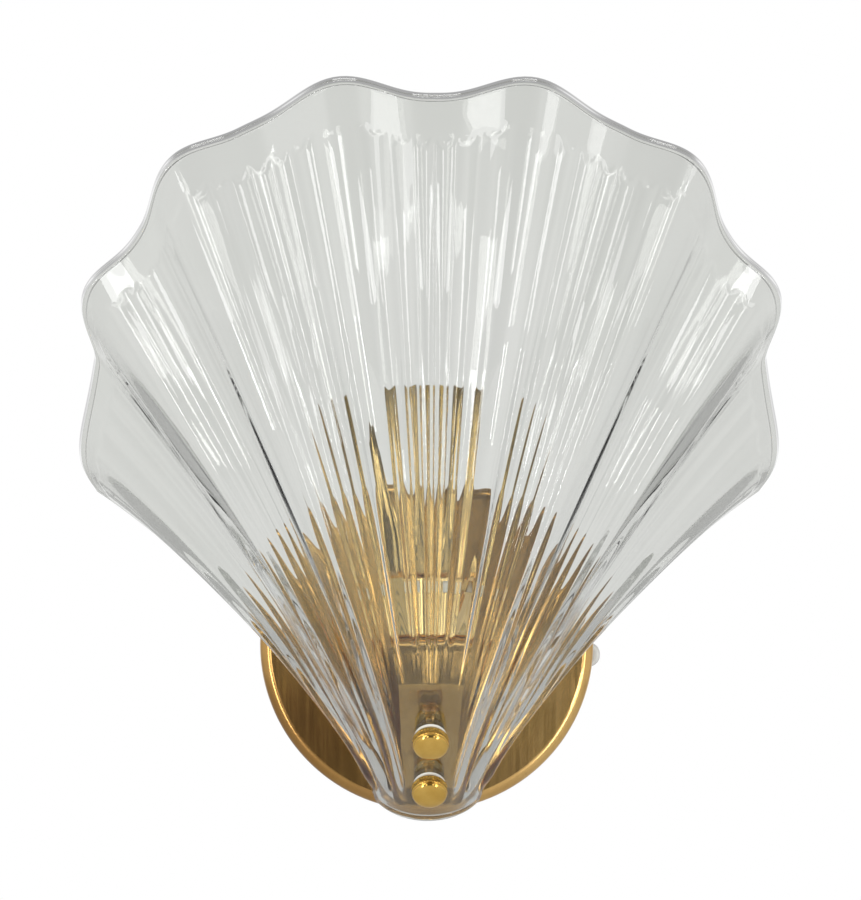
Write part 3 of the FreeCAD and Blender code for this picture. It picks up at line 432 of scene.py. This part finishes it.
# ---- knob mesh -----------------------------------------------------------------------------------------
def build_knob(name, node, clamp_axis):
    """A thumb nut with a straight-knurled band and a domed, polished face, the length of its solid."""
    way = clamp_way()
    side = np.array([1.0, 0, 0])
    up = np.cross(way, side)
    seat = np.array([0, *clamp_axis])
    corners = np.array([node.matrix_world @ v.co for v in node.data.vertices]) / MM
    along = (corners - seat) @ way
    foot, length = along.min(), along.max() - along.min()
    steps = KNURL_RIDGES * STEPS_PER_RIDGE
    points, faces, rings = [], [], []

    def on_axis(share):
        return seat + way * (foot + share * length)

    def ring(share, radius, knurled=False):
        first = len(points)
        for k in range(steps):
            turn = 2 * math.pi * k / steps
            groove = KNURL_DEPTH * (1 - abs(math.sin(turn * KNURL_RIDGES / 2)) ** KNURL_POWER)
            arm = side * math.cos(turn) + up * math.sin(turn)
            points.append(on_axis(share) + arm * (radius - groove * knurled))
        rings.append(range(first, first + steps))

    ring(KNOB_BORE_SHARE, KNOB_BORE_R)
    ring(0.0, KNOB_BORE_R)
    for share, radius in KNOB_OUTLINE[:-1]:
        ring(share, radius, KNURL_BAND[0] < share < KNURL_BAND[1])
    for low, high in zip(rings, rings[1:]):
        for k in range(steps):
            n = (k + 1) % steps
            faces.append((low[k], low[n], high[n], high[k]))
    for last, share, turned in ((rings[-1], 1.0, False), (rings[0], KNOB_BORE_SHARE, True)):
        points.append(on_axis(share))
        middle = len(points) - 1
        for k in range(steps):
            n = (k + 1) % steps
            faces.append((last[n], last[k], middle) if turned else (last[k], last[n], middle))
    return mesh_object(name, np.array(points) * MM, faces)


# ---- node materials ------------------------------------------------------------------------------------
class Material:
    """A node material with short calls for the nodes used here."""

    def __init__(self, name):
        self.name = name
        self.data = bpy.data.materials.new(name)
        self.data.use_nodes = True
        self.tree = self.data.node_tree
        self.shader = self.tree.nodes["Principled BSDF"]
        self.output = self.tree.nodes["Material Output"]
        self.coords = self.node("TexCoord").outputs["Object"]

    def set(self, **values):
        for name, value in values.items():
            self.shader.inputs[name.replace("_", " ")].default_value = value

    def node(self, kind, **values):
        new = self.tree.nodes.new("ShaderNode" + kind)
        for name, value in values.items():
            setattr(new, name, value)
        return new

    def link(self, source, target):
        self.tree.links.new(source, target)

    def feed(self, socket, value):
        if hasattr(value, "is_output"):
            self.link(value, socket)
        else:
            socket.default_value = value

    def placed(self, scale=(1, 1, 1), rotation=(0, 0, 0)):
        mapping = self.node("Mapping")
        self.link(self.coords, mapping.inputs["Vector"])
        mapping.inputs["Scale"].default_value = scale
        mapping.inputs["Rotation"].default_value = rotation
        return mapping.outputs["Vector"]

    def noise(self, scale, detail=3.0, roughness=0.5, vector=None):
        noise = self.node("TexNoise")
        self.link(vector or self.coords, noise.inputs["Vector"])
        noise.inputs["Scale"].default_value = scale
        noise.inputs["Detail"].default_value = detail
        noise.inputs["Roughness"].default_value = roughness
        return noise.outputs["Fac"]

    def ramp(self, factor, stops):
        ramp = self.node("ValToRGB")
        self.link(factor, ramp.inputs["Fac"])
        for element, (place, colour) in zip(ramp.color_ramp.elements, stops[:1] + stops[-1:]):
            element.position = place
            element.color = (*colour, 1.0)
        for place, colour in stops[1:-1]:
            ramp.color_ramp.elements.new(place).color = (*colour, 1.0)
        return ramp.outputs["Color"]

    def range(self, value, from_low, from_high, to_low, to_high):
        ranged = self.node("MapRange")
        self.link(value, ranged.inputs["Value"])
        ranged.inputs["From Min"].default_value = from_low
        ranged.inputs["From Max"].default_value = from_high
        ranged.inputs["To Min"].default_value = to_low
        ranged.inputs["To Max"].default_value = to_high
        return ranged.outputs["Result"]

    def mix(self, factor, first, second, blend="MIX"):
        mix = self.node("Mix", data_type="RGBA", blend_type=blend)
        self.feed(mix.inputs["Factor"], factor)
        for socket, value in ((mix.inputs[6], first), (mix.inputs[7], second)):
            self.feed(socket, value if hasattr(value, "is_output") else (*value, 1.0))
        return mix.outputs[2]

    def math(self, operation, first, second=0.0):
        node = self.node("Math", operation=operation)
        self.feed(node.inputs[0], first)
        self.feed(node.inputs[1], second)
        return node.outputs[0]

    def colour(self, source):
        self.link(source, self.shader.inputs["Base Color"])

    def rough(self, source):
        self.link(source, self.shader.inputs["Roughness"])

    def bump(self, height, distance, strength=1.0):
        """Adds a bump on top of those that the shader has already."""
        bump = self.node("Bump")
        bump.inputs["Distance"].default_value = distance
        bump.inputs["Strength"].default_value = strength
        self.link(height, bump.inputs["Height"])
        normal = self.shader.inputs["Normal"]
        if normal.is_linked:
            self.link(normal.links[0].from_socket, bump.inputs["Normal"])
        self.link(bump.outputs["Normal"], normal)


GLASS_SHADOW = (0.86, 0.87, 0.85, 1.0)
GLASS_EDGE = (0.38, 0.46, 0.36)


def glass_material():
    m = Material("clear_glass")
    m.set(IOR=1.5, Transmission_Weight=1.0)
    facing = m.node("LayerWeight")
    facing.inputs["Blend"].default_value = 0.35
    streaks = m.noise(14.0, 2.0)
    body = m.ramp(streaks, ((0.3, (0.66, 0.672, 0.64)), (0.7, (0.70, 0.708, 0.682))))
    edge = m.range(facing.outputs["Facing"], 0.75, 1.0, 0.0, 1.0)
    m.colour(m.mix(edge, body, GLASS_EDGE))
    m.rough(m.range(m.noise(160.0, 2.0), 0.35, 0.75, 0.0, 0.012))
    m.bump(m.noise(30.0, 1.0, 0.3), 0.0008, 0.25)
    # lamp light passes through to what lies behind the glass
    clear = m.node("BsdfTransparent")
    clear.inputs["Color"].default_value = GLASS_SHADOW
    path = m.node("LightPath")
    both = m.node("MixShader")
    m.link(path.outputs["Is Shadow Ray"], both.inputs["Fac"])
    m.link(m.shader.outputs["BSDF"], both.inputs[1])
    m.link(clear.outputs["BSDF"], both.inputs[2])
    m.link(both.outputs["Shader"], m.output.inputs["Surface"])
    return m


PLATE_FROM_Y = (-0.022, -0.016)   # the painted sector shade and the painted shade at the lower left are only on what lies nearer to the wall
# brown of the painted shade at the plate's lower left and of the patina spots
PATINA_AND_SHADE_COLOUR = (0.24, 0.115, 0.04)
PAINTED_SHADE_SLOPE = 1.4                # how much faster the painted shade deepens downward than to the left


def satin_brass():
    m = Material("satin_brass")
    m.set(Metallic=1.0)
    grain = m.noise(900.0, 3.0, 0.6, m.placed(scale=(1.0, 1.0, 0.03), rotation=(0, 0.12, 0)))
    clouds = m.noise(28.0, 4.0, 0.6)
    tone = m.ramp(clouds, (
        (0.30, (0.68, 0.42, 0.14)),
        (0.55, (0.79, 0.52, 0.20)),
        (0.8, (0.88, 0.60, 0.26)),
    ))
    lines = m.ramp(grain, ((0.35, (0.93, 0.92, 0.90)), (0.65, (1.0, 1.0, 1.0))))
    tone = m.mix(1.0, tone, lines, "MULTIPLY")
    parts = m.node("SeparateXYZ")
    m.link(m.coords, parts.inputs[0])
    x, y, z = (parts.outputs[name] for name in "XYZ")
    on_plate = m.range(y, *PLATE_FROM_Y, 0.0, 1.0)
    # painted highlight and shade: spun metal catches the light in sectors round its centre, and here
    # lighter and darker sectors are painted into the colour
    painted_sector_light = m.math("SINE", m.math("MULTIPLY", m.math("ARCTAN2", z, x), 2.0))
    share = m.range(painted_sector_light, -1.0, 1.0, 0.0, 1.0)
    shade = m.ramp(share, ((0.0, (1.0, 1.0, 1.0)), (1.0, (0.52, 0.46, 0.38))))
    tone = m.mix(on_plate, tone, m.mix(1.0, tone, shade, "MULTIPLY"))
    # painted shade: brown, thickest toward the lower left of the plate and broken into patches, with
    # scattered patina spots all over
    place = m.math("ADD", x, m.math("MULTIPLY", z, PAINTED_SHADE_SLOPE))
    low = m.range(place, -0.085, 0.01, 0.62, 0.0)
    patches = m.range(m.noise(22.0, 5.0, 0.6), 0.38, 0.62, 0.25, 1.0)
    spots = m.range(m.noise(75.0, 5.0, 0.7), 0.60, 0.70, 0.0, 0.45)
    brown = m.math("MULTIPLY", m.math("MULTIPLY", low, patches), on_plate)
    m.colour(m.mix(m.math("MAXIMUM", brown, spots), tone, PATINA_AND_SHADE_COLOUR))
    m.rough(m.range(grain, 0.3, 0.7, 0.16, 0.22))
    m.bump(grain, 0.00002, 0.3)
    m.bump(m.noise(26.0, 2.0, 0.4), 0.0012, 0.6)
    return m


def polished_brass():
    m = Material("polished_brass")
    m.set(Metallic=1.0)
    m.colour(m.ramp(m.noise(60.0, 4.0, 0.6), ((0.3, (0.86, 0.60, 0.24)), (0.7, (0.95, 0.71, 0.34)))))
    m.rough(m.range(m.noise(400.0, 4.0, 0.65), 0.3, 0.8, 0.04, 0.11))
    m.bump(m.noise(60.0, 2.0, 0.4, m.placed(scale=(1.0, 1.0, 0.12))), 0.0012, 0.8)
    return m


def knob_brass():
    m = Material("knob_brass")
    m.set(Metallic=1.0)
    m.colour(m.ramp(m.noise(120.0, 4.0, 0.6), ((0.3, (0.56, 0.34, 0.075)), (0.7, (0.70, 0.45, 0.12)))))
    m.rough(m.range(m.noise(500.0, 4.0, 0.65), 0.3, 0.8, 0.06, 0.16))
    return m


def screw_brass():
    m = Material("screw_brass")
    m.set(Metallic=1.0)
    m.colour(m.ramp(m.noise(250.0), ((0.3, (0.62, 0.43, 0.19)), (0.7, (0.78, 0.58, 0.29)))))
    m.rough(m.range(m.noise(600.0), 0.3, 0.7, 0.18, 0.34))
    return m


def zinc_steel():
    m = Material("zinc_steel")
    m.set(Metallic=1.0)
    m.colour(m.ramp(m.noise(180.0, 4.0, 0.6), ((0.3, (0.50, 0.52, 0.54)), (0.7, (0.68, 0.69, 0.70)))))
    m.rough(m.range(m.noise(500.0), 0.3, 0.7, 0.28, 0.44))
    return m


def soft_material(name, dark, light, smoothest=0.25, roughest=0.4, scale=120.0, transmission=0.0):
    """Plastic, rubber or glaze: a mottled colour between dark and light."""
    m = Material(name)
    m.set(Transmission_Weight=transmission)
    m.colour(m.ramp(m.noise(scale), ((0.3, dark), (0.7, light))))
    m.rough(m.range(m.noise(scale * 3), 0.3, 0.7, smoothest, roughest))
    return m


# name, darker and lighter colour, then roughness from and to, grain and transmission where they differ
SOFT_MATERIALS = (
    ("white_nylon", (0.82, 0.82, 0.79), (0.90, 0.90, 0.87)),
    ("clear_rubber", (0.70, 0.60, 0.42), (0.80, 0.70, 0.50), 0.12, 0.25, 90.0, 0.9),
    ("white_ceramic", (0.80, 0.79, 0.74), (0.88, 0.87, 0.83), 0.08, 0.2),
    ("clear_vinyl", (0.74, 0.74, 0.70), (0.86, 0.86, 0.83), 0.08, 0.2, 90.0, 0.6),
    ("brown_vinyl", (0.16, 0.075, 0.04), (0.24, 0.12, 0.06)),
    ("blue_vinyl", (0.04, 0.12, 0.38), (0.07, 0.18, 0.50)),
    ("green_vinyl", (0.14, 0.36, 0.06), (0.55, 0.60, 0.08), 0.25, 0.4, 260.0),
    ("block_plastic", (0.74, 0.73, 0.68), (0.84, 0.83, 0.78), 0.4, 0.55),
    ("black_rubber", (0.02, 0.02, 0.02), (0.045, 0.045, 0.045), 0.5, 0.7),
)


def make_materials():
    made = [glass_material(), satin_brass(), polished_brass(), knob_brass(), screw_brass(), zinc_steel()]
    made += [soft_material(*row) for row in SOFT_MATERIALS]
    return {m.name: m.data for m in made}


def dress_nodes(materials):
    slots = {row["node"]: row["material_slot"] for row in frame["record"]["subparts"]}
    for name, obj in frame["nodes"].items():
        material = materials[slots[name]]
        if not obj.data.materials:
            obj.data.materials.append(material)
        for slot in obj.material_slots:
            slot.material = material


# ---- stage ---------------------------------------------------------------------------------------------
FLOOR_SEGMENTS = 96
FLOOR_R = 0.9
FLOOR_Z = -0.25


def make_floor():
    turns = [2 * math.pi * k / FLOOR_SEGMENTS for k in range(FLOOR_SEGMENTS)]
    points = [(0, 0, FLOOR_Z)]
    points += [(FLOOR_R * math.cos(turn), FLOOR_R * math.sin(turn), FLOOR_Z) for turn in turns]
    faces = [(0, k + 1, (k + 1) % FLOOR_SEGMENTS + 1) for k in range(FLOOR_SEGMENTS)]
    floor = mesh_object("floor", points, faces)
    m = Material("floor")
    m.set(Roughness=0.9)
    m.colour(m.ramp(m.noise(6.0), ((0.3, (0.80, 0.80, 0.80)), (0.7, (0.83, 0.83, 0.83)))))
    floor.data.materials.append(m.data)


# how light the room is all round, by azimuth in degrees: 0 is toward the camera, 180 the backdrop
ROOM_LIGHT = (
    (-180, 1.00), (-173, 0.93), (-165, 0.99), (-157, 0.87), (-148, 0.92), (-124, 0.66), (-112, 0.62),
    (-98, 0.90), (-62, 0.95),
    (-34, 0.95), (-26, 0.22), (8, 0.15), (20, 0.30), (28, 0.95), (60, 0.90), (98, 0.90),
    (112, 0.62), (124, 0.66), (148, 0.92), (157, 0.87), (165, 0.99), (173, 0.93), (180, 1.00),
)
CEILING_LIGHT = 0.40
CEILING_FROM = (0.34, 0.80)       # sine of the elevation where the room turns into the ceiling
TABLE_LIGHT = 0.62
TABLE_FROM = (0.30, 0.85)         # and, downward, into the table
ROOM_DIFFUSE = 0.55


def make_world():
    """A white backdrop behind the lamp, a dim room in front of it between two light walls."""
    world = bpy.data.worlds.new("studio")
    bpy.context.scene.world = world
    world.use_nodes = True
    tree = world.node_tree
    tree.nodes.clear()

    def node(kind, **values):
        new = tree.nodes.new("ShaderNode" + kind)
        for name, value in values.items():
            setattr(new, name, value)
        return new

    def fill(sockets, values):
        for socket, value in zip(sockets, values):
            if hasattr(value, "is_output"):
                tree.links.new(value, socket)
            else:
                socket.default_value = value

    def calc(operation, first, second=0.0):
        new = node("Math", operation=operation)
        fill(new.inputs, (first, second))
        return new.outputs[0]

    def eased_between(value, low, high):
        new = node("MapRange", interpolation_type="SMOOTHSTEP")
        fill(new.inputs, (value, low, high, 0.0, 1.0))
        return new.outputs[0]

    def blend(share, first, second):
        return calc("ADD", first, calc("MULTIPLY", share, calc("SUBTRACT", second, first)))

    def room_all_round(azimuth):
        ramp = node("ValToRGB")
        tree.links.new(calc("ADD", calc("DIVIDE", azimuth, 2 * math.pi), 0.5), ramp.inputs["Fac"])
        stops = ramp.color_ramp.elements
        while len(stops) < len(ROOM_LIGHT):
            stops.new(0.5)
        for stop, (degrees, level) in zip(stops, ROOM_LIGHT):
            stop.position = degrees / 360 + 0.5
            stop.color = (level, level, level, 1.0)
        return ramp.outputs["Color"]

    parts = node("SeparateXYZ")
    tree.links.new(node("TexCoord").outputs["Generated"], parts.inputs[0])
    height = parts.outputs["Z"]
    azimuth = calc("ARCTAN2", parts.outputs["X"], calc("MULTIPLY", parts.outputs["Y"], -1.0))
    room = blend(eased_between(height, *CEILING_FROM), room_all_round(azimuth), CEILING_LIGHT)
    room = blend(eased_between(calc("MULTIPLY", height, -1.0), *TABLE_FROM), room, TABLE_LIGHT)

    path = node("LightPath")
    beam = calc("MAXIMUM", path.outputs["Is Glossy Ray"], path.outputs["Is Transmission Ray"])
    level = blend(beam, ROOM_DIFFUSE, room)
    level = blend(path.outputs["Is Camera Ray"], level, 1.0)
    background = node("Background")
    fill(background.inputs, ((1, 1, 1, 1), level))
    tree.links.new(background.outputs[0], node("OutputWorld").inputs["Surface"])


LIGHT_TARGET = (0.0, -0.07, 0.06)
# name, azimuth and elevation in degrees, distance, width, height, and brightness where 1 is white
SOFTBOXES = (
    ("left_softbox", -38, 24, 1.2, 0.45, 0.80, 3.0),
    ("right_softbox", 42, 16, 1.2, 0.30, 0.80, 2.6),
    ("top_softbox", 0, 66, 1.2, 0.80, 0.40, 3.0),
    ("left_strip", -15, -4, 1.2, 0.14, 0.26, 5.5),
    ("right_strip", 17, -4, 1.2, 0.11, 0.26, 5.0),
    ("left_side_strip", -34, -9, 1.2, 0.15, 0.34, 6.5),
    ("right_side_strip", 35, -9, 1.2, 0.13, 0.34, 6.0),
    ("low_left_strip", -34, -21, 0.60, 0.035, 0.16, 16.0),
    ("low_right_strip", 30, -23, 0.60, 0.03, 0.14, 16.0),
)


def softbox(name, azimuth, elevation, distance, width, height, radiance):
    """An area light that faces the lamp, placed by its angles as seen from the lamp."""
    turn, lift = math.radians(azimuth), math.radians(elevation)
    way = Vector((math.sin(turn) * math.cos(lift), -math.cos(turn) * math.cos(lift), math.sin(lift)))
    light = bpy.data.lights.new(name, "AREA")
    light.shape = "RECTANGLE"
    light.size = width
    light.size_y = height
    light.energy = radiance * math.pi * width * height
    obj = bpy.data.objects.new(name, light)
    obj.location = Vector(LIGHT_TARGET) + way * distance
    obj.rotation_euler = (-way).to_track_quat("-Z", "Y").to_euler()
    bpy.context.scene.collection.objects.link(obj)


# ---- camera --------------------------------------------------------------------------------------------
CAMERA_DISTANCE = 1.4             # from the wall
CAMERA_AZIMUTH = -1.5
CAMERA_Z = 0.0698
CAMERA_PIVOT_Y = -0.06
MM_PER_PIXEL = 0.3625             # at the wall
IMAGE_HEIGHT = 900
SENSOR = 36.0


def make_camera():
    camera = bpy.data.cameras.new("camera")
    camera.sensor_width = SENSOR
    camera.lens = SENSOR * CAMERA_DISTANCE / (IMAGE_HEIGHT * MM_PER_PIXEL * MM)
    obj = bpy.data.objects.new("camera", camera)
    turn = math.radians(CAMERA_AZIMUTH)
    reach = CAMERA_DISTANCE + CAMERA_PIVOT_Y
    obj.location = (reach * math.sin(turn), CAMERA_PIVOT_Y - reach * math.cos(turn), CAMERA_Z)
    obj.rotation_euler = (math.radians(90), 0, turn)
    bpy.context.scene.collection.objects.link(obj)
    bpy.context.scene.camera = obj


# ---- the scene -----------------------------------------------------------------------------------------
def add_shell(materials):
    shell = build_shell()
    shell.data.materials.append(materials["clear_glass"])
    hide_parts("glass_shell")
    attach(shell, "lamp")


def add_knobs(materials):
    for place, axis in zip(("lower", "upper"), CLAMP_AXES):
        knob = build_knob(place + "_thumb_nut", frame["nodes"][place + "_knob"], axis)
        knob.data.materials.append(materials["knob_brass"])
        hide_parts(place + "_knob")
        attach(knob, place + "_knob")


def main():
    make_camera()
    make_world()
    for row in SOFTBOXES:
        softbox(*row)
    make_floor()
    materials = make_materials()
    dress_nodes(materials)
    add_shell(materials)
    add_knobs(materials)
    bpy.context.scene.view_settings.view_transform = "Standard"


main()
